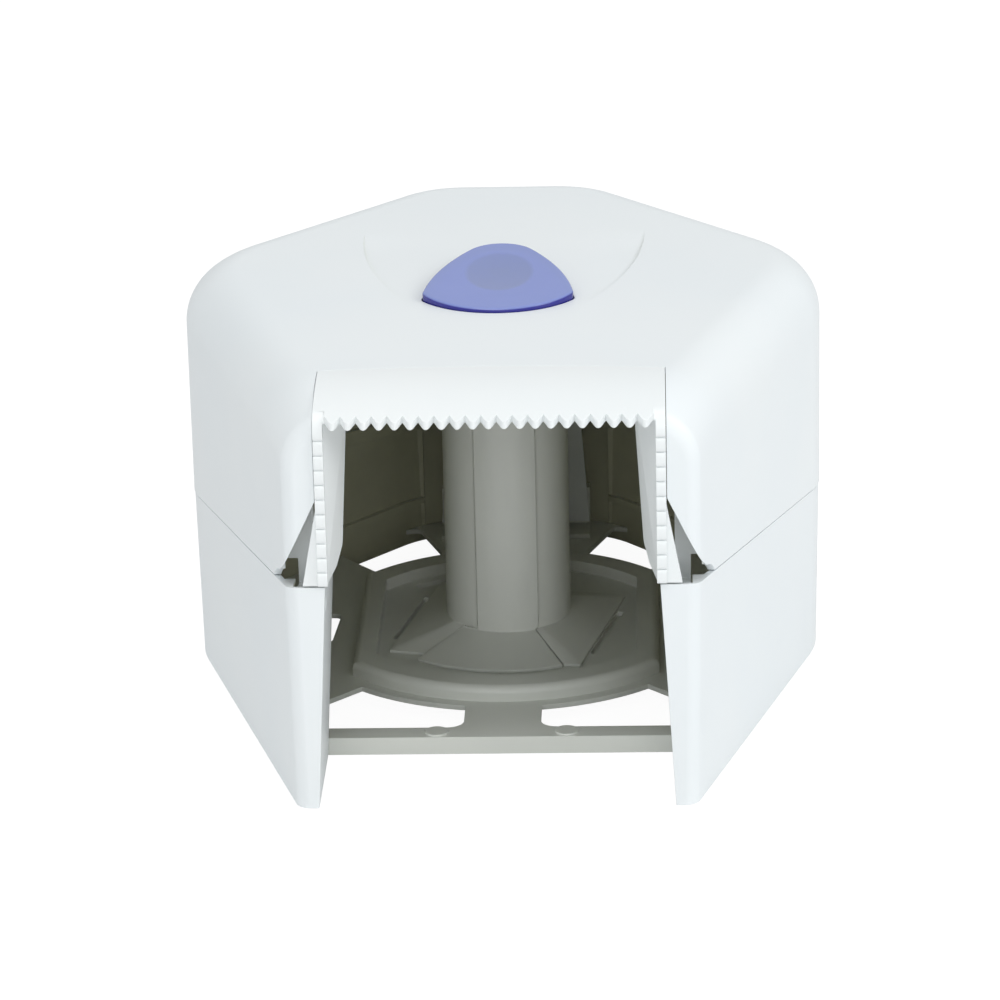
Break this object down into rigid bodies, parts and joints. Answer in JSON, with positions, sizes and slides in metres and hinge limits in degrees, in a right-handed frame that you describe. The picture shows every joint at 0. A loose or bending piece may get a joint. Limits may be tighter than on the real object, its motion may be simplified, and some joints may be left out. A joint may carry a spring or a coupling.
{
  "type": "jumbo toilet roll dispenser",
  "caption": "Wall dispenser for a jumbo toilet roll: hinged cover with a tear bar and a sprung push-button latch, over a back plate with a roll spindle.",
  "frame": {"origin": "centre of the footprint on the wall plane, with the back plate down", "axes": "+X to the right seen from the paper outlet, +Y away from the outlet towards the upper end when hung, +Z out of the wall"},
  "size_m": [0.24, 0.2882, 0.1603],
  "materials": {
    "white_casing": "satin moulded white plastic",
    "white_insert": "satin moulded white plastic",
    "grey_plate": "satin moulded light grey plastic",
    "grey_spindle": "satin moulded light grey plastic",
    "blue_button": "polished translucent blue plastic",
    "latch_plastic": "plain moulded plastic",
    "screw_steel": "zinc-plated steel",
    "pin_steel": "ground steel"
  },
  "bodies": {
    "housing": {"rear_housing": "white_casing", "back_plate": "grey_plate", "plate_screws": "screw_steel", "spindle_post": "grey_spindle", "spindle_key": "grey_spindle", "spindle_screws": "screw_steel", "strike_plate": "grey_plate", "strike_screws": "screw_steel", "hinge_pin_left": "pin_steel", "hinge_pin_right": "pin_steel"},
    "cover": {"front_cover": "white_casing", "tear_bar": "white_insert", "tear_bar_screws": "screw_steel", "latch_housing": "latch_plastic", "latch_housing_screws": "screw_steel", "latch_guide": "latch_plastic", "latch_guide_screws": "screw_steel", "button_spring": "pin_steel"},
    "button": {"lock_button": "blue_button", "button_plunger": "latch_plastic", "button_screw": "screw_steel"},
    "latch": {"latch_strap": "latch_plastic", "latch_hook": "latch_plastic", "latch_hook_screws": "screw_steel"}
  },
  "joints": [
    {"name": "cover_hinge", "type": "hinge", "parent": "housing", "child": "cover", "pos_m": [0, -0.13195, 0.0745], "axis": [1, 0, 0], "range_deg": [0, 95]},
    {"name": "button_press", "type": "slide", "parent": "cover", "child": "button", "axis": [0, 0, -1], "range_m": [0, 0.0045], "stiffness_N_per_m": 400, "springref_m": -0.006, "deforming": ["button_spring"]},
    {"name": "latch_draw", "type": "slide", "parent": "cover", "child": "latch", "axis": [0, -1, 0], "range_m": [0, 0.0045]}
  ],
  "couplings": [
    {"joint": "latch_draw", "follows": "button_press", "ratio": 1}
  ]
}
